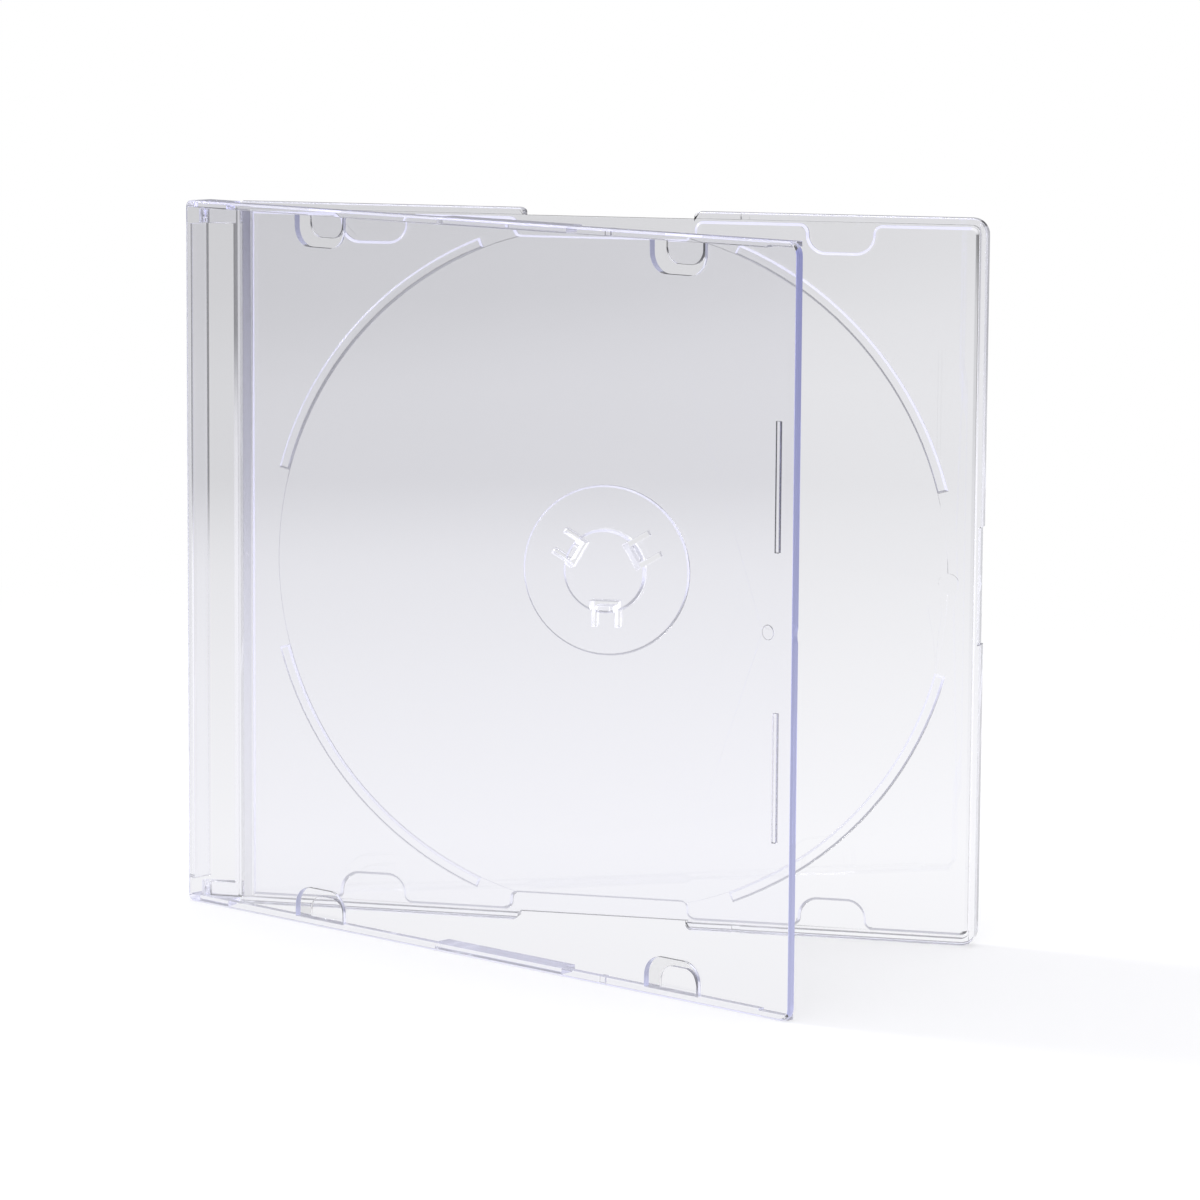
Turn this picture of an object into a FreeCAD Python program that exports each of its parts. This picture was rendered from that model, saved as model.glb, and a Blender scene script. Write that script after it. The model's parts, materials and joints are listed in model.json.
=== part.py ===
import FreeCAD, Part
import math
import os

# A slim disc case in two clear mouldings, standing on one long edge with its lid ajar.
# The hinge axis is the Z axis, the tray lies along +X and the lid swings towards -Y.
# Positions are given as u from the spine edge, w from the back face and z from the floor.

LID_ANGLE = 28.0
PANEL_THICKNESS = 1.2
WALL_THICKNESS = 1.2
CLEARANCE = 0.15
CASE_DEPTH = 5.2
LID_INNER_FACE = CASE_DEPTH - PANEL_THICKNESS

# disc seat, which sets the size of the whole case
DISC_RADIUS = 60.0
DISC_HOLE_RADIUS = 7.5
RIDGE_UNDER_DISC = 0.2
RIDGE_WIDTH = 1.9
RIDGE_FLANK = 0.35
RIDGE_INNER_RADIUS = DISC_RADIUS - RIDGE_UNDER_DISC
RIDGE_OUTER_RADIUS = RIDGE_INNER_RADIUS + RIDGE_WIDTH
RIDGE_FIRST_ANGLE = 15.0
RIDGE_LAST_ANGLE = 68.0
RIDGE_TO_LONG_EDGE = 0.8
RIDGE_TO_FREE_END = 4.1
HUB_FROM_SPINE = 76.2
CASE_WIDTH = HUB_FROM_SPINE + RIDGE_OUTER_RADIUS + RIDGE_TO_FREE_END
CASE_HEIGHT = 2 * (RIDGE_OUTER_RADIUS + RIDGE_TO_LONG_EDGE)
MIDDLE = CASE_HEIGHT / 2
DISC_WELL_DEPTH = 0.15

PLATFORM_STEP = 0.6
PLATFORM_HEIGHT = PANEL_THICKNESS + PLATFORM_STEP
PLATFORM_EDGE_INSET = 1.6
PLATFORM_END_INSET = 1.7
PLATFORM_CORNER_RADIUS = 1.2
PLATFORM_SLOPE = 0.45
POCKET_MOUTH_RADIUS = 1.6
SEAT_RADIUS = 14.9
SEAT_STEP = 0.45
SEAT_SLOPE = 0.3
SEAT_HEIGHT = PLATFORM_HEIGHT + SEAT_STEP
HUB_HOLE_CLEARANCE = 0.15
HUB_RADIUS = DISC_HOLE_RADIUS - HUB_HOLE_CLEARANCE
HUB_TO_LID = 0.4
HUB_HEIGHT = LID_INNER_FACE - HUB_TO_LID
HUB_CHAMFER = 0.4
CLAW_COUNT = 3
CLAW_WIDTH = 5.1
CLAW_SLOT = 0.9
CLAW_INSIDE_RIM = 2.15
CLAW_OUTSIDE_RIM = 2.55
CLAW_INNER_RADIUS = HUB_RADIUS - CLAW_INSIDE_RIM
CLAW_OUTER_RADIUS = HUB_RADIUS + CLAW_OUTSIDE_RIM
CLAW_NUB_HEIGHT = 0.2
CLAW_NUB_WIDTH = 2.2
CLAW_NUB_REACH = 0.9
CLAW_NUB_INSIDE_RIM = 0.15

# hinge
AXIS_FROM_SPINE = 3.4
AXIS_FROM_BACK = CASE_DEPTH / 2
SPLIT_ABOVE_AXIS = 0.05
SPLIT_DEPTH = AXIS_FROM_BACK + SPLIT_ABOVE_AXIS
PIN_RADIUS = 0.7
PIN_LENGTH = 1.8
PIN_CHAMFER = 0.2
PIN_CLEARANCE = 0.05
SPINE_SWEEP = math.hypot(AXIS_FROM_SPINE, AXIS_FROM_BACK)
SPINE_SLOT_GAP = 1.12
HEEL_WALL = 1.62
HEEL_RADIUS = SPINE_SWEEP + HEEL_WALL
ARM_CORNER_SLOPE = 0.6
EAR_THICKNESS = 2.5
EAR_RADIUS = LID_INNER_FACE - CLEARANCE - AXIS_FROM_BACK
EAR_TO_SPINE_WALL = 0.25
EAR_START = WALL_THICKNESS + CLEARANCE
SPINE_WALL_FROM_EDGE = EAR_START + EAR_THICKNESS + EAR_TO_SPINE_WALL

# tray
TRAY_START = AXIS_FROM_SPINE + SPINE_SWEEP + SPINE_SLOT_GAP
TRAY_BAR_WIDTH = 1.2
TRAY_STEP_WIDTH = 1.5
TRAY_STEP_HEIGHT = 2 * PANEL_THICKNESS
TRAY_CORNER_RADIUS = 2.8
TRAY_EDGE_SLOPE = 0.3
END_WALL_THICKNESS = 1.1
FINGER_NOTCH_LENGTH = 20.2
FINGER_NOTCH_DEPTH = 0.4

# grip on both long edges, where the lid wall fills a gap in the tray rail
GRIP_LENGTH = 30.3
GRIP_FROM_HUB = 0.35
GRIP_START = HUB_FROM_SPINE - GRIP_FROM_HUB - GRIP_LENGTH / 2
GRIP_END = GRIP_START + GRIP_LENGTH
GRIP_CLEARANCE = 0.3
GRIP_CORNER_RADIUS = 1.0
GRIP_POCKET_LENGTH = 31.4
GRIP_POCKET_LEAD = 1.2
GRIP_POCKET_START = GRIP_START - GRIP_POCKET_LEAD
GRIP_POCKET_END = GRIP_POCKET_START + GRIP_POCKET_LENGTH
GRIP_POCKET_DEPTH = 4.7

# snap that holds the lid shut
SNAP_FROM_FREE_END = 42.0
SNAP_POSITION = CASE_WIDTH - SNAP_FROM_FREE_END
SNAP_WIDTH = 1.2
SNAP_DEPTH = 0.4

# booklet tabs on the lid
TAB_FROM_SPINE = 33.85
TAB_FROM_FREE_END = 25.5
TAB_POSITIONS = (TAB_FROM_SPINE, CASE_WIDTH - TAB_FROM_FREE_END)
TAB_WIDTH = 8.0
TAB_REACH = 5.0
TAB_THICKNESS = 0.8
TAB_CORNER_RADIUS = 2.6
WINDOW_MARGIN = 1.95
WINDOW_WIDTH = TAB_WIDTH + 2 * WINDOW_MARGIN
WINDOW_BEYOND_TAB = 1.6
WINDOW_REACH = TAB_REACH + WINDOW_BEYOND_TAB
WINDOW_CORNER_RADIUS = 3.5
POCKET_MARGIN = 1.6
TAB_POCKET_WIDTH = TAB_WIDTH + 2 * POCKET_MARGIN
POCKET_BEYOND_TAB = 1.4
TAB_POCKET_REACH = TAB_REACH + POCKET_BEYOND_TAB
TAB_POCKET_CORNER_RADIUS = 3.0

# lid
LID_FREE_CORNER_RADIUS = 2.25
LID_SPINE_CORNER_RADIUS = 1.15
LID_EDGE_SLOPE = 0.35
LID_WALL_TO_END_WALL = 0.2
LID_WALL_END = CASE_WIDTH - END_WALL_THICKNESS - LID_WALL_TO_END_WALL
THIN_WALL_FROM_FREE_END = 7.0
THIN_WALL_START = CASE_WIDTH - THIN_WALL_FROM_FREE_END
THIN_WALL_THICKNESS = 0.9
END_RIB_FROM_FREE_END = 4.7
END_RIB_START = CASE_WIDTH - END_RIB_FROM_FREE_END
END_RIB_WIDTH = 0.8
END_RIB_LENGTH = 21.0
END_RIB_HEIGHT = 0.6
END_RIB_FROM_MIDDLE = 23.4

# small moulding marks
MARK_DEPTH = 0.15
EJECTOR_FROM_FREE_END = 5.9
EJECTOR_POSITION = CASE_WIDTH - EJECTOR_FROM_FREE_END
EJECTOR_RADIUS = 1.8
LID_MARK_RADIUS = 1.2
GATE_RADIUS = 0.5
SCOOP_RADIUS = 5.0
SCOOP_DEPTH = 0.16

OVERCUT = 1.0


def block(u0, u1, w0, w1, z0, z1):
    corner = FreeCAD.Vector(u0 - AXIS_FROM_SPINE, AXIS_FROM_BACK - w1, z0)
    return Part.makeBox(u1 - u0, w1 - w0, z1 - z0, corner)


def disc(u, z, radius, w0, w1):
    centre = FreeCAD.Vector(u - AXIS_FROM_SPINE, AXIS_FROM_BACK - w0, z)
    return Part.makeCylinder(radius, w1 - w0, centre, FreeCAD.Vector(0, -1, 0))


def axis_cylinder(radius, z0, z1):
    return Part.makeCylinder(radius, z1 - z0, FreeCAD.Vector(0, 0, z0))


def edges_at(solid, direction, u=None, w=None, z=None):
    found = []
    for edge in solid.Edges:
        if not isinstance(edge.Curve, Part.Line):
            continue
        if abs(edge.Curve.Direction.dot(direction)) < 0.999:
            continue
        middle = edge.CenterOfMass
        place = (middle.x + AXIS_FROM_SPINE, AXIS_FROM_BACK - middle.y, middle.z)
        if all(want is None or abs(want - have) < 0.01 for want, have in zip((u, w, z), place)):
            found.append(edge)
    return found


def edges_on_level(solid, w):
    return [edge for edge in solid.Edges
            if all(abs(AXIS_FROM_BACK - vertex.Y - w) < 0.001 for vertex in edge.Vertexes)]


def rounded_through(solid, radius, corners):
    # rounds the edges that run through the thickness at the given (u, z) corners
    edges = []
    for u, z in corners:
        edges += edges_at(solid, FreeCAD.Vector(0, 1, 0), u=u, z=z)
    return solid.makeFillet(radius, edges)


def at_both_edges(make):
    # the case is the same at its bottom and top edge
    low = make()
    high = low.mirror(FreeCAD.Vector(0, 0, MIDDLE), FreeCAD.Vector(0, 0, 1))
    return [low, high]


def tray_shell():
    rail_height = SPLIT_DEPTH - CLEARANCE
    wall_height = LID_INNER_FACE - CLEARANCE
    shell = block(TRAY_START, CASE_WIDTH, 0, wall_height, 0, CASE_HEIGHT)
    shell = rounded_through(shell, TRAY_CORNER_RADIUS, [(CASE_WIDTH, 0), (CASE_WIDTH, CASE_HEIGHT)])
    back_edges = [e for e in edges_on_level(shell, 0) if e.CenterOfMass.x > TRAY_START]
    shell = shell.makeChamfer(TRAY_EDGE_SLOPE, back_edges)
    inner_end = CASE_WIDTH - END_WALL_THICKNESS
    low, high = WALL_THICKNESS, CASE_HEIGHT - WALL_THICKNESS
    hollow = block(0, inner_end, PANEL_THICKNESS, CASE_DEPTH, low, high)
    inner_radius = TRAY_CORNER_RADIUS - END_WALL_THICKNESS
    hollow = rounded_through(hollow, inner_radius, [(inner_end, low), (inner_end, high)])
    above_rails = block(0, inner_end, rail_height, CASE_DEPTH, -OVERCUT, CASE_HEIGHT + OVERCUT)
    notch_half = FINGER_NOTCH_LENGTH / 2
    notch = block(CASE_WIDTH - FINGER_NOTCH_DEPTH, CASE_WIDTH + OVERCUT, -OVERCUT, CASE_DEPTH,
                  MIDDLE - notch_half, MIDDLE + notch_half)
    return shell.cut(hollow).cut(above_rails).cut(notch)


def grip_gap():
    # the gap flares outwards, so the two rail ends beside it are rounded
    gap = block(GRIP_START, GRIP_END, -OVERCUT, CASE_DEPTH, -OVERCUT, EAR_START)
    radius = GRIP_CORNER_RADIUS
    for u0 in (GRIP_START - radius, GRIP_END):
        flare = block(u0, u0 + radius, -OVERCUT, CASE_DEPTH, 0, radius)
        rail_end = u0 if u0 < GRIP_START else u0 + radius
        gap = gap.fuse(flare.cut(disc(rail_end, radius, radius, -OVERCUT, CASE_DEPTH)))
    return gap


def snap_notch():
    half = SNAP_WIDTH / 2 + CLEARANCE
    bottom = SPLIT_DEPTH - SNAP_DEPTH - CLEARANCE
    return block(SNAP_POSITION - half, SNAP_POSITION + half, bottom, CASE_DEPTH, -OVERCUT, WALL_THICKNESS)


def spine_bar():
    low, high = EAR_START, CASE_HEIGHT - EAR_START
    bar_end = TRAY_START + TRAY_BAR_WIDTH
    bar = block(TRAY_START, bar_end, 0, LID_INNER_FACE - CLEARANCE, low, high)
    step = block(bar_end, bar_end + TRAY_STEP_WIDTH, 0, TRAY_STEP_HEIGHT, low, high)
    gate = disc(bar_end + GATE_RADIUS, MIDDLE, GATE_RADIUS, 0, TRAY_STEP_HEIGHT + MARK_DEPTH)
    return bar.fuse([step, gate])


def hinge_ear():
    # a bar about the hinge axis, thin enough to turn under the lid panel at every angle
    z0, z1 = EAR_START, EAR_START + EAR_THICKNESS
    bar = block(AXIS_FROM_SPINE, TRAY_START + TRAY_BAR_WIDTH, AXIS_FROM_BACK - EAR_RADIUS,
                AXIS_FROM_BACK + EAR_RADIUS, z0, z1)
    return axis_cylinder(EAR_RADIUS, z0, z1).fuse(bar)


def platform_pocket(u0, u1, reach, radius):
    pocket = block(u0, u1, PANEL_THICKNESS, CASE_DEPTH, -OVERCUT, reach)
    return rounded_through(pocket, radius, [(u0, reach), (u1, reach)])


def platform():
    u0 = TRAY_START + TRAY_BAR_WIDTH + TRAY_STEP_WIDTH
    u1 = CASE_WIDTH - PLATFORM_END_INSET
    z0, z1 = PLATFORM_EDGE_INSET, CASE_HEIGHT - PLATFORM_EDGE_INSET
    raised = block(u0, u1, 0, PLATFORM_HEIGHT, z0, z1)
    raised = rounded_through(raised, PLATFORM_CORNER_RADIUS, [(u1, z0), (u1, z1)])
    half = TAB_POCKET_WIDTH / 2
    pockets = [(u - half, u + half, TAB_POCKET_REACH, TAB_POCKET_CORNER_RADIUS) for u in TAB_POSITIONS]
    pockets.append((GRIP_POCKET_START, GRIP_POCKET_END, GRIP_POCKET_DEPTH, GRIP_CORNER_RADIUS))
    mouths = []
    for start, end, reach, radius in pockets:
        raised = raised.cut(at_both_edges(lambda: platform_pocket(start, end, reach, radius)))
        mouths += [(u, z) for u in (start, end) for z in (z0, z1)]
    raised = rounded_through(raised, POCKET_MOUTH_RADIUS, mouths)
    raised = raised.makeChamfer(PLATFORM_SLOPE, edges_on_level(raised, PLATFORM_HEIGHT))
    floor = PLATFORM_HEIGHT - DISC_WELL_DEPTH
    return raised.cut(disc(HUB_FROM_SPINE, MIDDLE, RIDGE_INNER_RADIUS, floor, CASE_DEPTH))


def hub_point(radius, angle_deg, w):
    angle = math.radians(angle_deg)
    return FreeCAD.Vector(HUB_FROM_SPINE - AXIS_FROM_SPINE + radius * math.cos(angle), AXIS_FROM_BACK - w,
                          MIDDLE + radius * math.sin(angle))


def ridge_arc(first, last):
    middle = (first + last) / 2
    outer = [hub_point(RIDGE_OUTER_RADIUS, a, 0) for a in (first, middle, last)]
    inner = [hub_point(RIDGE_INNER_RADIUS, a, 0) for a in (last, middle, first)]
    wire = Part.Wire([Part.Arc(*outer).toShape(), Part.makeLine(outer[2], inner[0]),
                      Part.Arc(*inner).toShape(), Part.makeLine(inner[2], outer[0])])
    ridge = Part.Face(wire).extrude(FreeCAD.Vector(0, -SEAT_HEIGHT, 0))
    return ridge.makeChamfer(RIDGE_FLANK, edges_on_level(ridge, SEAT_HEIGHT))


def disc_ridge():
    # four arcs round the disc, open at the sides and at both long edges
    first, last = RIDGE_FIRST_ANGLE, RIDGE_LAST_ANGLE
    spans = ((first, last), (180 - last, 180 - first), (180 + first, 180 + last), (360 - last, 360 - first))
    return [ridge_arc(a, b) for a, b in spans]


def hub():
    seat = disc(HUB_FROM_SPINE, MIDDLE, SEAT_RADIUS, 0, SEAT_HEIGHT)
    boss = disc(HUB_FROM_SPINE, MIDDLE, HUB_RADIUS, 0, HUB_HEIGHT)
    return [seat.makeChamfer(SEAT_SLOPE, edges_on_level(seat, SEAT_HEIGHT)),
            boss.makeChamfer(HUB_CHAMFER, edges_on_level(boss, HUB_HEIGHT))]


def round_the_hub(make):
    # the claws are alike, evenly turned about the middle of the hub
    shapes = []
    for k in range(CLAW_COUNT):
        shape = make()
        shape.rotate(hub_point(0, 0, 0), FreeCAD.Vector(0, 1, 0), 360.0 * k / CLAW_COUNT)
        shapes.append(shape)
    return shapes


def claw_slot():
    # a claw is a springy tongue, cut free on three sides and rooted at its outer end
    half = CLAW_WIDTH / 2
    opening = block(HUB_FROM_SPINE - half, HUB_FROM_SPINE + half, -OVERCUT, CASE_DEPTH,
                    MIDDLE - CLAW_OUTER_RADIUS, MIDDLE - CLAW_INNER_RADIUS)
    tongue = block(HUB_FROM_SPINE - half + CLAW_SLOT, HUB_FROM_SPINE + half - CLAW_SLOT, -OVERCUT,
                   CASE_DEPTH, MIDDLE - CLAW_OUTER_RADIUS, MIDDLE - CLAW_INNER_RADIUS - CLAW_SLOT)
    return opening.cut(tongue)


def claw_nub():
    half = CLAW_NUB_WIDTH / 2
    outside = MIDDLE - HUB_RADIUS + HUB_CHAMFER + CLAW_NUB_INSIDE_RIM
    return block(HUB_FROM_SPINE - half, HUB_FROM_SPINE + half, PANEL_THICKNESS,
                 HUB_HEIGHT + CLAW_NUB_HEIGHT, outside, outside + CLAW_NUB_REACH)


def make_tray():
    parts = [spine_bar(), platform()] + disc_ridge() + hub() + round_the_hub(claw_nub)
    tray = tray_shell().fuse(parts + at_both_edges(hinge_ear))
    cuts = round_the_hub(claw_slot) + at_both_edges(grip_gap) + at_both_edges(snap_notch)
    cuts += at_both_edges(lambda: axis_cylinder(HEEL_RADIUS + CLEARANCE, -OVERCUT, EAR_START))
    cuts += at_both_edges(lambda: axis_cylinder(PIN_RADIUS + PIN_CLEARANCE, 0, SPINE_WALL_FROM_EDGE))
    mark_floor = PLATFORM_HEIGHT - DISC_WELL_DEPTH - MARK_DEPTH
    cuts.append(disc(EJECTOR_POSITION, MIDDLE, EJECTOR_RADIUS, mark_floor, CASE_DEPTH))
    return tray.cut(cuts).removeSplitter()


def lid_panel():
    panel = block(0, CASE_WIDTH, LID_INNER_FACE, CASE_DEPTH, 0, CASE_HEIGHT)
    panel = rounded_through(panel, LID_FREE_CORNER_RADIUS, [(CASE_WIDTH, 0), (CASE_WIDTH, CASE_HEIGHT)])
    panel = rounded_through(panel, LID_SPINE_CORNER_RADIUS, [(0, 0), (0, CASE_HEIGHT)])
    return panel.makeChamfer(LID_EDGE_SLOPE, edges_on_level(panel, CASE_DEPTH))


def arm_corner():
    # the wedge taken off the arm where the spine edge meets the back
    reach = ARM_CORNER_SLOPE + OVERCUT
    corners = [(-OVERCUT, -OVERCUT), (reach, -OVERCUT), (-OVERCUT, reach)]
    points = [FreeCAD.Vector(u - AXIS_FROM_SPINE, AXIS_FROM_BACK - w, -OVERCUT) for u, w in corners]
    return Part.Face(Part.makePolygon(points + points[:1])).extrude(FreeCAD.Vector(0, 0, EAR_START + OVERCUT))


def hinge_arm():
    # the arm is full depth at the spine and ends in a heel that is round about the hinge axis
    long_arm = block(0, LID_WALL_END, 0, LID_INNER_FACE, 0, WALL_THICKNESS)
    long_arm = rounded_through(long_arm, LID_SPINE_CORNER_RADIUS, [(0, 0)])
    long_arm = long_arm.cut(arm_corner())
    below = block(AXIS_FROM_SPINE, CASE_WIDTH, -OVERCUT, SPLIT_DEPTH, -OVERCUT, WALL_THICKNESS + OVERCUT)
    arm = long_arm.cut(below.cut(axis_cylinder(HEEL_RADIUS, -OVERCUT, WALL_THICKNESS + OVERCUT)))
    thin = block(THIN_WALL_START, CASE_WIDTH, 0, LID_INNER_FACE, THIN_WALL_THICKNESS, WALL_THICKNESS)
    pin = axis_cylinder(PIN_RADIUS, 0, WALL_THICKNESS + PIN_LENGTH)
    tip = [e for e in pin.Edges if abs(e.CenterOfMass.z - WALL_THICKNESS - PIN_LENGTH) < 0.01]
    return arm.cut(thin).fuse(pin.makeChamfer(PIN_CHAMFER, tip))


def grip_wall():
    return block(GRIP_START + GRIP_CLEARANCE, GRIP_END - GRIP_CLEARANCE, 0, LID_INNER_FACE, 0, WALL_THICKNESS)


def snap_nub():
    half = SNAP_WIDTH / 2
    return block(SNAP_POSITION - half, SNAP_POSITION + half, SPLIT_DEPTH - SNAP_DEPTH, SPLIT_DEPTH, 0,
                 WALL_THICKNESS)


def booklet_tab(u):
    half = TAB_WIDTH / 2
    tab = block(u - half, u + half, SPLIT_DEPTH, SPLIT_DEPTH + TAB_THICKNESS, 0, TAB_REACH)
    return rounded_through(tab, TAB_CORNER_RADIUS, [(u - half, TAB_REACH), (u + half, TAB_REACH)])


def tab_window(u):
    half = WINDOW_WIDTH / 2
    window = block(u - half, u + half, LID_INNER_FACE - OVERCUT / 2, CASE_DEPTH + OVERCUT, WALL_THICKNESS,
                   WINDOW_REACH)
    return rounded_through(window, WINDOW_CORNER_RADIUS, [(u - half, WINDOW_REACH), (u + half, WINDOW_REACH)])


def end_rib():
    middle = MIDDLE - END_RIB_FROM_MIDDLE
    half = END_RIB_LENGTH / 2
    low_face = LID_INNER_FACE - END_RIB_HEIGHT
    return block(END_RIB_START, END_RIB_START + END_RIB_WIDTH, low_face, LID_INNER_FACE,
                 middle - half, middle + half)


def make_lid():
    spine = block(0, WALL_THICKNESS, 0, LID_INNER_FACE, SPINE_WALL_FROM_EDGE,
                  CASE_HEIGHT - SPINE_WALL_FROM_EDGE)
    parts = [spine] + at_both_edges(hinge_arm) + at_both_edges(grip_wall) + at_both_edges(snap_nub)
    parts += at_both_edges(end_rib)
    cuts = [disc(EJECTOR_POSITION, MIDDLE, LID_MARK_RADIUS, 0, LID_INNER_FACE + MARK_DEPTH),
            disc(CASE_WIDTH + SCOOP_RADIUS - SCOOP_DEPTH, MIDDLE, SCOOP_RADIUS, 0, CASE_DEPTH + OVERCUT)]
    for u in TAB_POSITIONS:
        cuts += at_both_edges(lambda: tab_window(u))
        parts += at_both_edges(lambda: booklet_tab(u))
    lid = lid_panel().cut(cuts).fuse(parts).removeSplitter()
    lid.rotate(FreeCAD.Vector(0, 0, 0), FreeCAD.Vector(0, 0, 1), -LID_ANGLE)
    return lid


os.makedirs("parts", exist_ok=True)
make_tray().exportStep("parts/base_tray.step")
make_lid().exportStep("parts/lid.step")
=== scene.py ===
import bpy
import json
import math
from mathutils import Matrix, Vector


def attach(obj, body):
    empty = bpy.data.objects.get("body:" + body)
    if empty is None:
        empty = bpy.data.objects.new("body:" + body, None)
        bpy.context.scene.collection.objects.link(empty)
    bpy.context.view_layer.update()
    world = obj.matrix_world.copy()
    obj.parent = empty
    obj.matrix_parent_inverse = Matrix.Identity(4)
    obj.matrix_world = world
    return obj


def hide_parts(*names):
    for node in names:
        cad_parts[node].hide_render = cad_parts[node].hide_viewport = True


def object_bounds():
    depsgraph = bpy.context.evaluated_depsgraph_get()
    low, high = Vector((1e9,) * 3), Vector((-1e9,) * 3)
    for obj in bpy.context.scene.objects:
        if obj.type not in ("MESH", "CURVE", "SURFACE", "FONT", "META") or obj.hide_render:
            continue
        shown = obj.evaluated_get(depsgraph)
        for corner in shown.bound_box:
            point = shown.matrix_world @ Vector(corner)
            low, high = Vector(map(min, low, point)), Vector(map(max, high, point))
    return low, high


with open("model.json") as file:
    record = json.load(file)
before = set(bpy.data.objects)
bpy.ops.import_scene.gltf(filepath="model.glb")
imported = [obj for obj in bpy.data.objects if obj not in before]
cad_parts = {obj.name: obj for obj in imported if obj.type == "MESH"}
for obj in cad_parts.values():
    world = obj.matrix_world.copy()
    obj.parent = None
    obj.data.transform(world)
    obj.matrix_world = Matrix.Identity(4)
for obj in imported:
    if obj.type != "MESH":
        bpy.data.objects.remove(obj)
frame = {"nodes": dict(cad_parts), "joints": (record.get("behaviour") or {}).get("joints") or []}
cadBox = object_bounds()
mm = 0.001
freeEndMm = cadBox[1][0] / mm  # how far the case reaches from the hinge axis
caseHeightMm = cadBox[1][2] / mm  # as it stands on its long edge
lidOpenDeg = -frame["joints"][0]["range_deg"][0]  # the lid's joint starts shut and is 0 as in the photo


def hexToLinear(code):
    channels = [int(code[i:i + 2], 16) / 255 for i in (1, 3, 5)]
    linear = [c / 12.92 if c <= 0.04045 else ((c + 0.055) / 1.055) ** 2.4 for c in channels]
    return (*linear, 1.0)


# settings go to sockets by name or to the node's own fields, and stops, as (share, colour), to its ramp
# links are (socket, from node, output)
def addNode(tree, kind, settings=None, links=None):
    node = tree.nodes.new(kind)
    for name, value in (settings or {}).items():
        if name == "stops":
            while len(node.color_ramp.elements) < len(value):
                node.color_ramp.elements.new(0.5)
            for stop, (share, colour) in zip(node.color_ramp.elements, value):
                stop.position = share
                stop.color = (*colour, 1.0)
        elif name in node.inputs:
            node.inputs[name].default_value = value
        else:
            setattr(node, name, value)
    for name, source, output in links or []:
        tree.links.new(source.outputs[output], node.inputs[name])
    return node


def blankMaterial(name):
    material = bpy.data.materials.new(name)
    material.use_nodes = True
    material.node_tree.nodes.clear()
    return material


# solved on the outer edges of both mouldings, together with the hub and the disc ridge
photoCamera = {
    "placeMm": (298.2, -850.4, 180.2),
    "turnLeftDeg": 14.93,
    "tiltDownDeg": 7.95,
    "rollDeg": 0.39,
    "lensMm": 153.6,
    "sensorMm": 36,
    "nearestM": 0.01,
    "furthestM": 50,
}


def makeCamera(settings):
    turn, tilt, roll = (math.radians(settings[k]) for k in ("turnLeftDeg", "tiltDownDeg", "rollDeg"))
    ahead = Vector((-math.sin(turn) * math.cos(tilt), math.cos(turn) * math.cos(tilt), -math.sin(tilt)))
    right = Vector((math.cos(turn), math.sin(turn), 0))
    up = right.cross(ahead)
    rolledRight = math.cos(roll) * right + math.sin(roll) * up
    rolledUp = math.cos(roll) * up - math.sin(roll) * right
    data = bpy.data.cameras.new("photoCamera")
    data.sensor_width = settings["sensorMm"]
    data.lens = settings["lensMm"]
    data.clip_start = settings["nearestM"]
    data.clip_end = settings["furthestM"]
    camera = bpy.data.objects.new("photoCamera", data)
    bpy.context.scene.collection.objects.link(camera)
    turnMatrix = Matrix((rolledRight, rolledUp, -ahead)).transposed().to_4x4()
    camera.matrix_world = Matrix.Translation(Vector(settings["placeMm"]) * mm) @ turnMatrix
    bpy.context.scene.camera = camera


# plain white to the camera, while through clear plastic it shows grey tones, matched to the photo
paperSweep = {
    "sideM": 8.0,
    "belowMm": 0.02,
    "turnLeftDeg": photoCamera["turnLeftDeg"],
    "paperHex": "#f4f4f7",
    "glow": 1.0,
    "tones": ((-300, 0.8), (60, 0.93), (280, 0.87), (404, 0.83), (650, 0.76), (940, 0.77), (1370, 0.73),
              (2200, 0.73)),  # mm behind the hinge axis along the view, and brightness there
    "blueShare": 1.01,
    "leftRightTone": (0.87, 1.1),
    "leftRightMm": 330.0,
    "halfWidthMm": 420.0,
    "sideFadeMm": 260.0,
    "sideBright": 0.3,
    "shadowShare": 0.5,
    "shadowReachMm": (120.0, 420.0),
}


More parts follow.
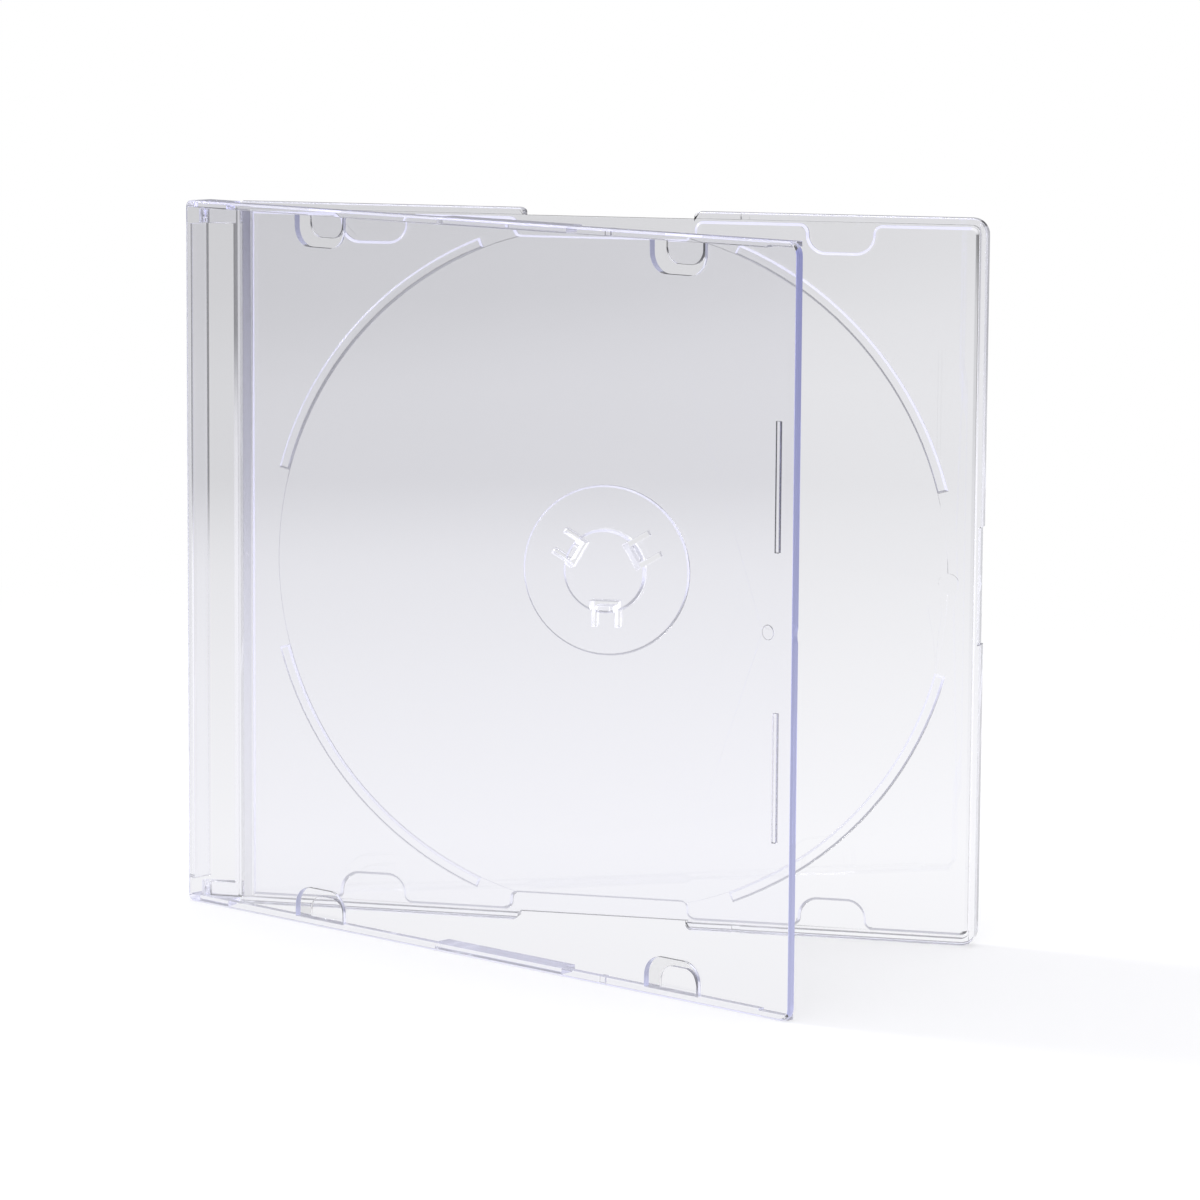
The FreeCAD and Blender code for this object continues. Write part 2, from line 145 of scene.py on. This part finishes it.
def makeFloor(settings):
    bpy.ops.object.select_all(action="DESELECT")
    bpy.ops.mesh.primitive_plane_add(size=settings["sideM"], location=(0, 0, -settings["belowMm"] * mm),
                                     rotation=(0, 0, math.radians(settings["turnLeftDeg"])))
    floor = bpy.context.object
    floor.name = "studioFloor"
    material = blankMaterial("whitePaperSweep")
    tree = material.node_tree
    place = addNode(tree, "ShaderNodeTexCoord")
    split = addNode(tree, "ShaderNodeSeparateXYZ", None, [("Vector", place, "Object")])

    # the tones seen through the plastic: along the depth, from left to right, and fading past the sides
    first, last = settings["tones"][0][0], settings["tones"][-1][0]
    along = addNode(tree, "ShaderNodeMapRange", {"From Min": first * mm, "From Max": last * mm},
                    [("Value", split, "Y")])
    stops = [((depth - first) / (last - first), (bright, bright, bright * settings["blueShare"]))
             for depth, bright in settings["tones"]]
    tones = addNode(tree, "ShaderNodeValToRGB", {"stops": stops}, [("Fac", along, "Result")])
    aside = addNode(tree, "ShaderNodeMath", {"operation": "ABSOLUTE"}, [(0, split, "X")])
    sideShare = addNode(tree, "ShaderNodeMapRange", {
        "From Min": settings["halfWidthMm"] * mm,
        "From Max": (settings["halfWidthMm"] + settings["sideFadeMm"]) * mm,
        "To Min": 1.0,
        "To Max": settings["sideBright"],
        "interpolation_type": "SMOOTHSTEP",
    }, [("Value", aside, "Value")])
    darkest, brightest = settings["leftRightTone"]
    leftRight = addNode(tree, "ShaderNodeMapRange", {
        "From Min": -settings["leftRightMm"] * mm,
        "From Max": settings["leftRightMm"] * mm,
        "To Min": darkest,
        "To Max": brightest,
    }, [("Value", split, "X")])
    strength = addNode(tree, "ShaderNodeMath", {"operation": "MULTIPLY"},
                       [(0, sideShare, "Result"), (1, leftRight, "Result")])
    seenThrough = addNode(tree, "ShaderNodeEmission", None,
                          [("Color", tones, "Color"), ("Strength", strength, "Value")])

    # the camera sees white, with the case's soft shadow close to it
    paper = addNode(tree, "ShaderNodeBsdfDiffuse", {"Color": hexToLinear(settings["paperHex"])})
    white = addNode(tree, "ShaderNodeEmission", {"Color": (1, 1, 1, 1), "Strength": settings["glow"]})
    distance = addNode(tree, "ShaderNodeVectorMath", {"operation": "LENGTH"}, [(0, place, "Object")])
    nearest, furthest = settings["shadowReachMm"]
    share = addNode(tree, "ShaderNodeMapRange", {
        "From Min": nearest * mm,
        "From Max": furthest * mm,
        "To Min": settings["shadowShare"],
        "To Max": 0.0,
        "interpolation_type": "SMOOTHSTEP",
    }, [("Value", distance, "Value")])
    shaded = addNode(tree, "ShaderNodeMixShader", None,
                     [("Fac", share, "Result"), (1, white, "Emission"), (2, paper, "BSDF")])
    rays = addNode(tree, "ShaderNodeLightPath")
    mix = addNode(tree, "ShaderNodeMixShader", None,
                  [("Fac", rays, "Is Camera Ray"), (1, seenThrough, "Emission"), (2, shaded, "Shader")])
    addNode(tree, "ShaderNodeOutputMaterial", None, [("Surface", mix, "Shader")])
    floor.data.materials.append(material)


# dim near the horizon and bright overhead, and plain white to the camera
room = {
    "tone": (0.97, 0.97, 1.0),
    "horizonBright": 0.12,
    "overheadBright": 1.0,
    "brightensFrom": 0.1,
    "brightensTo": 0.75,
}


def makeWorld(settings):
    world = bpy.data.worlds.new("studioWorld")
    bpy.context.scene.world = world
    world.use_nodes = True
    tree = world.node_tree
    tree.nodes.clear()
    rays = addNode(tree, "ShaderNodeLightPath")
    place = addNode(tree, "ShaderNodeTexCoord")
    split = addNode(tree, "ShaderNodeSeparateXYZ", None, [("Vector", place, "Generated")])
    height = addNode(tree, "ShaderNodeMapRange", {
        "From Min": settings["brightensFrom"],
        "From Max": settings["brightensTo"],
        "To Min": settings["horizonBright"],
        "To Max": settings["overheadBright"],
        "interpolation_type": "SMOOTHSTEP",
    }, [("Value", split, "Z")])
    around = addNode(tree, "ShaderNodeBackground", {"Color": (*settings["tone"], 1)},
                     [("Strength", height, "Result")])
    white = addNode(tree, "ShaderNodeBackground", {"Color": (1, 1, 1, 1), "Strength": 1.0})
    mix = addNode(tree, "ShaderNodeMixShader", None,
                  [("Fac", rays, "Is Camera Ray"), (1, around, "Background"), (2, white, "Background")])
    addNode(tree, "ShaderNodeOutputWorld", None, [("Surface", mix, "Shader")])


# places and sizes in metres
softLamps = {
    "windowLamp": {"place": (-1.15, 0.2, 0.75), "aim": (0.06, -0.02, 0.06), "side": 0.35, "watts": 9.0},
    "topLamp": {"place": (0.2, -0.3, 1.3), "aim": (0.06, -0.02, 0.06), "side": 0.8, "watts": 5.0},
}


def addSoftLamp(name, settings):
    data = bpy.data.lights.new(name, "AREA")
    data.shape = "RECTANGLE"
    data.size = data.size_y = settings["side"]
    data.energy = settings["watts"]
    lamp = bpy.data.objects.new(name, data)
    bpy.context.scene.collection.objects.link(lamp)
    place = Vector(settings["place"])
    turn = (Vector(settings["aim"]) - place).to_track_quat("-Z", "Y").to_matrix().to_4x4()
    lamp.matrix_world = Matrix.Translation(place) @ turn


# general-purpose polystyrene, moulded in polished steel: clear, glassy and without grain
polystyrene = {
    "tintHex": "#fdfdff",
    "depthTintDensity": 16.0,
    # strength of the glow painted into the volume for light carried along the sheet
    "carriedGlowPerMetre": 16.0,
    "ior": 1.59,
    "roughness": 0.0,
}

# painted light on the edges, for light caught in the sheet that comes out there, tuned to the photo and not
# measured
# the painted glow changes with height up from the floor, as (share of the height, colour, strength)
paintedEdgeLooks = {
    "blueEdge": {"colourHex": "#a6abdc", "clear": 0.5, "roughness": 0.12, "glow": (
        (0.0, "#bcbddb", 0.52), (0.35, "#b8bada", 0.42), (0.65, "#aeb0dc", 0.33), (0.95, "#a0a2e3", 0.27))},
    "lilacEdge": {"colourHex": "#d0d2ea", "clear": 0.62, "roughness": 0.12, "glow": (
        (0.0, "#c2c5e6", 0.36), (1.0, "#bec1e6", 0.26))},
    "paleEdge": {"colourHex": "#d8d8df", "clear": 0.72, "roughness": 0.06, "glow": (
        (0.0, "#dcdce4", 0.12), (1.0, "#dcdce4", 0.34))},
    "brightEdge": {"colourHex": "#d8d8e6", "clear": 0.7, "roughness": 0.08, "glow": (
        (0.0, "#d2d2e4", 0.22), (1.0, "#dcdce4", 0.18))},
    "softEdge": {"colourHex": "#909098", "clear": 0.85, "roughness": 0.32, "glow": (
        (0.0, "#e6e6f0", 0.47), (0.5, "#e6e6f0", 0.34), (1.0, "#e6e6ee", 0.28))},
    "stepEdge": {"colourHex": "#5e5e60", "clear": 0.5, "roughness": 0.1, "glow": (
        (0.1, "#e0e0e4", 0.74), (0.33, "#e0e0e4", 0.6), (0.55, "#e0e0e4", 0.34), (0.8, "#e0e0e4", 0.17),
        (0.95, "#e0e0e4", 0.03))},
    # painted shade: grey, less clear faces for the shaded sides of the lid's rib and mark
    "greyEdge": {"colourHex": "#c4c4ca", "clear": 0.78, "roughness": 0.1, "glow": ((0.0, "#000000", 0.0),)},
    # painted shade: a near-black face for the dark line along the lid's upper rib
    "darkEdge": {"colourHex": "#08080a", "clear": 0.3, "roughness": 0.1, "glow": ((0.0, "#000000", 0.0),)},
    # painted highlight: white glowing faces on the hinge ears and the hub's claws
    "whiteEdge": {"colourHex": "#ffffff", "clear": 0.5, "roughness": 0.15, "glow": (
        (0.0, "#f6f6ff", 0.36),)},
}


# light is slowly tinted inside the plastic; a painted glow in it, for light carried along the sheet,
# brightens long paths
def fillWithPlastic(tree, shader, piece):
    depth = addNode(tree, "ShaderNodeVolumeAbsorption", {
        "Color": hexToLinear(piece["depthTintHex"]),
        "Density": polystyrene["depthTintDensity"],
    })
    # painted glow: emission in the volume that stands for light carried along the sheet
    carried = addNode(tree, "ShaderNodeEmission", {
        "Color": hexToLinear(piece["carriedGlowHex"]),
        "Strength": polystyrene["carriedGlowPerMetre"],
    })
    both = addNode(tree, "ShaderNodeAddShader", None, [(0, depth, "Volume"), (1, carried, "Emission")])
    addNode(tree, "ShaderNodeOutputMaterial", None, [("Surface", shader, "BSDF"), ("Volume", both, "Shader")])


# the wide polished faces: clear as glass, with a faint tint through their depth
def makeClearPolystyrene(piece):
    material = blankMaterial(piece["name"] + "ClearPolystyrene")
    tree = material.node_tree
    shader = addNode(tree, "ShaderNodeBsdfPrincipled", {
        "Base Color": hexToLinear(polystyrene["tintHex"]),
        "Transmission Weight": 1.0,
        "IOR": polystyrene["ior"],
        "Roughness": polystyrene["roughness"],
    })
    fillWithPlastic(tree, shader, piece)
    return material


# the narrow moulded edges, with painted light and shade: made less clear than the faces, with a painted glow
# for the light the sheet carries
def makePaintedEdgeMaterial(piece, look):
    settings = paintedEdgeLooks[look]
    material = blankMaterial(piece["name"] + look[0].upper() + look[1:] + "Polystyrene")
    tree = material.node_tree
    glow = [(share, [part * strength for part in hexToLinear(code)[:3]])
            for share, code, strength in settings["glow"]]
    shader = addNode(tree, "ShaderNodeBsdfPrincipled", {
        "Base Color": hexToLinear(settings["colourHex"]),
        "Transmission Weight": settings["clear"],
        "IOR": polystyrene["ior"],
        "Roughness": settings["roughness"],
        "Emission Color": (*glow[0][1], 1.0),
        "Emission Strength": 1.0,
    })
    fillWithPlastic(tree, shader, piece)
    if len(glow) > 1:
        # the painted glow is graded by height above the floor
        place = addNode(tree, "ShaderNodeTexCoord")
        split = addNode(tree, "ShaderNodeSeparateXYZ", None, [("Vector", place, "Object")])
        height = addNode(tree, "ShaderNodeMapRange", {"From Min": 0.0, "From Max": caseHeightMm * mm},
                         [("Value", split, "Z")])
        tones = addNode(tree, "ShaderNodeValToRGB", {"stops": glow}, [("Fac", height, "Result")])
        tree.links.new(tones.outputs["Color"], shader.inputs["Emission Color"])
    return material


# both mouldings, measured with the case shut: x from the hinge axis, y towards the back, z from the floor
moulding = {
    "mergeMm": 0.002,
    "roundMm": 0.065,
    "roundSteps": 2,
    "sharpDeg": 25.0,
    "smoothDeg": 32.0,
    "flatDeg": 0.3,
    "areaWeight": 100,
    "skinMm": 0.45,
    "hingeReachMm": 3.6,
    "earMm": (1.4, 7.0),
}

# how much of a face's normal has to lie along an axis for the face to count as turned that way
facing = {"mostly": 0.5, "ribSide": 0.7, "squarely": 0.9, "edgeOn": 0.3, "wallSide": 0.35,
          "slope": (0.25, 0.97)}

trayPiece = {
    "cadNode": "base_tray",
    "name": "trayMoulding",
    "slot": "tray_polystyrene",
    "openDeg": 0.0,
    "depthTintHex": "#cacad3",
    "carriedGlowHex": "#d3d3db",
    # each part's look is painted light: a painted glow, a painted shade or a painted highlight
    "looks": {"freeEnd": "paleEdge", "endWall": "paleEdge", "longEdge": "paleEdge", "step": "stepEdge",
              "hinge": "whiteEdge", "claw": "whiteEdge", "slope": "softEdge", "wellEdge": "softEdge"},
    "tinyMarks": ((132.7, 62.5, 2.6), (7.1, 62.5, 1.2), (0.0, 2.6, 2.4), (0.0, 122.4, 2.4)),  # x, z, reach
    "endWallMm": 3.0,
    "stepMm": (6.6, 8.15),
    "stepReachMm": 0.8,
    "hubPlaceMm": (72.8, 62.5),
    "clawReachMm": 10.2,
    "rimMm": 1.3,
    "wellRadiusMm": 59.8,
    "wellSkinMm": 0.2,
}


# which part of the tray a face may belong to: the first that holds counts
def trayParts(place, normal, settings):
    fromFreeEnd = freeEndMm - place.x
    fromLongEdge = min(place.z, caseHeightMm - place.z)
    fromHub = (Vector((place.x, place.z)) - Vector(settings["hubPlaceMm"])).length
    stepStart, stepEnd = settings["stepMm"]
    earStart, earEnd = moulding["earMm"]
    gentle, steep = facing["slope"]
    onStep = stepStart < place.x < stepEnd and abs(place.y) < settings["stepReachMm"]
    byPin = abs(place.x) < moulding["hingeReachMm"] and earStart < fromLongEdge < earEnd
    inRims = fromLongEdge > settings["rimMm"] and fromFreeEnd > settings["endWallMm"]
    onWell = abs(fromHub - settings["wellRadiusMm"]) < settings["wellSkinMm"]
    return {
        "freeEnd": fromFreeEnd < moulding["skinMm"] and normal.x > facing["mostly"],
        "endWall": fromFreeEnd < settings["endWallMm"] and normal.x < -facing["mostly"],
        "longEdge": fromLongEdge < moulding["skinMm"] and abs(normal.z) > facing["mostly"],
        "step": onStep and normal.y < -facing["squarely"],
        "hinge": byPin and abs(normal.z) > facing["mostly"],
        "claw": fromHub < settings["clawReachMm"] and abs(normal.y) < facing["edgeOn"],
        "slope": inRims and gentle < -normal.y < steep,
        "wellEdge": onWell and abs(normal.y) < gentle,
    }


lidPiece = {
    "cadNode": "lid",
    "name": "lidMoulding",
    "slot": "lid_polystyrene",
    "openDeg": lidOpenDeg,
    "depthTintHex": "#bcbad6",
    "carriedGlowHex": "#d3d3df",
    # each part's look is painted light: a painted glow, a painted shade or a painted highlight
    "looks": {"freeEnd": "blueEdge", "foot": "brightEdge", "grip": "brightEdge", "longEdge": "brightEdge",
              "panelWall": "lilacEdge", "hinge": "whiteEdge", "upperRib": "darkEdge", "rib": "greyEdge",
              "mark": "greyEdge"},
    "tinyMarks": ((0.0, 2.6, 2.4), (0.0, 122.4, 2.4)),
    "panelInsideMm": 1.35,
    "ribMm": (133.7, 134.9),
    "ribTopMm": 0.7,
    "markPlaceMm": (132.7, 62.5),
    "markReachMm": 1.7,
    "wallMm": 1.4,
    "footMm": 1.0,
    "gripMm": (57.5, 87.5),
}


# which part of the lid a face may belong to: the first that holds counts
def lidParts(place, normal, settings):
    fromFreeEnd = freeEndMm - place.x
    fromLongEdge = min(place.z, caseHeightMm - place.z)
    fromMark = (Vector((place.x, place.z)) - Vector(settings["markPlaceMm"])).length
    ribStart, ribEnd = settings["ribMm"]
    gripStart, gripEnd = settings["gripMm"]
    earStart, earEnd = moulding["earMm"]
    onRib = ribStart < place.x < ribEnd and -settings["panelInsideMm"] < place.y < -settings["ribTopMm"]
    inWall = fromLongEdge < settings["wallMm"]
    byPin = abs(place.x) < moulding["hingeReachMm"] and earStart < fromLongEdge < earEnd
    inPanel = place.y < -settings["panelInsideMm"] and abs(normal.y) < facing["edgeOn"]
    return {
        "freeEnd": fromFreeEnd < moulding["skinMm"] and normal.x > facing["mostly"],
        "upperRib": onRib and normal.x < -facing["ribSide"] and place.z > caseHeightMm / 2,
        "rib": onRib and abs(normal.x) > facing["ribSide"],
        "mark": fromMark < settings["markReachMm"] and abs(normal.y) < facing["mostly"],
        "foot": inWall and place.x < settings["footMm"] and abs(normal.y) < facing["squarely"],
        "grip": inWall and gripStart < place.x < gripEnd and abs(normal.z) > facing["mostly"],
        "longEdge": fromLongEdge < moulding["skinMm"] and abs(normal.z) > facing["mostly"],
        "hinge": byPin and abs(normal.z) > facing["mostly"],
        "panelWall": inPanel and abs(normal.x) > facing["wallSide"],
    }


# the sharp edges are to be rounded, all but those of marks and pin holes too small to hold a rounding
def markSharpEdges(mesh, closed, tinyMarks):
    beside = {}
    for face in mesh.polygons:
        for key in face.edge_keys:
            beside.setdefault(key, []).append(face.normal)
    sharp = math.radians(moulding["sharpDeg"])
    weights = mesh.attributes.new("bevel_weight_edge", "FLOAT", "EDGE")
    for edge in mesh.edges:
        ends = [mesh.vertices[k].co for k in edge.vertices]
        centre = closed @ ((ends[0] + ends[1]) / 2) / mm
        place = Vector((centre.x, centre.z))
        tiny = any((place - Vector((x, z))).length < reach for x, z, reach in tinyMarks)
        first, second = beside[edge.key]
        rounded = first.angle(second, 0) > sharp and not tiny
        weights.data[edge.index].value = 1.0 if rounded else 0.0


# every corner of a face that lies square to the case is set square too, so the wide sheets have no ripple
def keepFlat(mesh, closed):
    limit = math.cos(math.radians(moulding["flatDeg"]))
    normals = [corner.vector.copy() for corner in mesh.corner_normals]
    for face in mesh.polygons:
        if max(abs(part) for part in closed @ face.normal) > limit:
            for corner in face.loop_indices:
                normals[corner] = face.normal.copy()
    mesh.normals_split_custom_set(normals)


# a copy of the CAD shell, merged, with its sharp moulded edges slightly rounded as polished plastic has them
def makeMoulding(piece, partsOfFace):
    source = frame["nodes"][piece["cadNode"]]
    shell = bpy.data.objects.new(piece["name"], source.data.copy())
    bpy.context.scene.collection.objects.link(shell)
    bpy.ops.object.select_all(action="DESELECT")
    bpy.context.view_layer.objects.active = shell
    shell.select_set(True)
    bpy.ops.object.mode_set(mode="EDIT")
    bpy.ops.mesh.select_all(action="SELECT")
    bpy.ops.mesh.remove_doubles(threshold=moulding["mergeMm"] * mm)
    bpy.ops.object.mode_set(mode="OBJECT")

    shell.data.materials.clear()
    shell.data.materials.append(makeClearPolystyrene(piece))
    looks = list(dict.fromkeys(piece["looks"].values()))
    for look in looks:
        shell.data.materials.append(makePaintedEdgeMaterial(piece, look))
    closed = Matrix.Rotation(math.radians(piece["openDeg"]), 3, "Z")
    for face in shell.data.polygons:
        parts = partsOfFace(closed @ face.center / mm, closed @ face.normal, piece)
        part = next((name for name, holds in parts.items() if holds), None)
        face.material_index = 1 + looks.index(piece["looks"][part]) if part else 0

    markSharpEdges(shell.data, closed, piece["tinyMarks"])
    rounding = shell.modifiers.new("rounding", "BEVEL")
    rounding.width = moulding["roundMm"] * mm
    rounding.segments = moulding["roundSteps"]
    rounding.limit_method = "WEIGHT"
    rounding.use_clamp_overlap = False
    bpy.ops.object.modifier_apply(modifier=rounding.name)
    bpy.ops.object.shade_smooth_by_angle(angle=math.radians(moulding["smoothDeg"]))
    flatness = shell.modifiers.new("flatness", "WEIGHTED_NORMAL")
    flatness.mode = "FACE_AREA"
    flatness.weight = moulding["areaWeight"]
    flatness.keep_sharp = True
    bpy.ops.object.modifier_apply(modifier=flatness.name)
    keepFlat(shell.data, closed)
    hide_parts(piece["cadNode"])
    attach(shell, piece["cadNode"])
    print(piece["name"], len(shell.data.polygons), "faces")


print("camera and studio")
makeCamera(photoCamera)
makeFloor(paperSweep)
makeWorld(room)
for name, settings in softLamps.items():
    addSoftLamp(name, settings)

print("mouldings")
makeMoulding(trayPiece, trayParts)
makeMoulding(lidPiece, lidParts)

bpy.context.scene.view_settings.view_transform = "Standard"
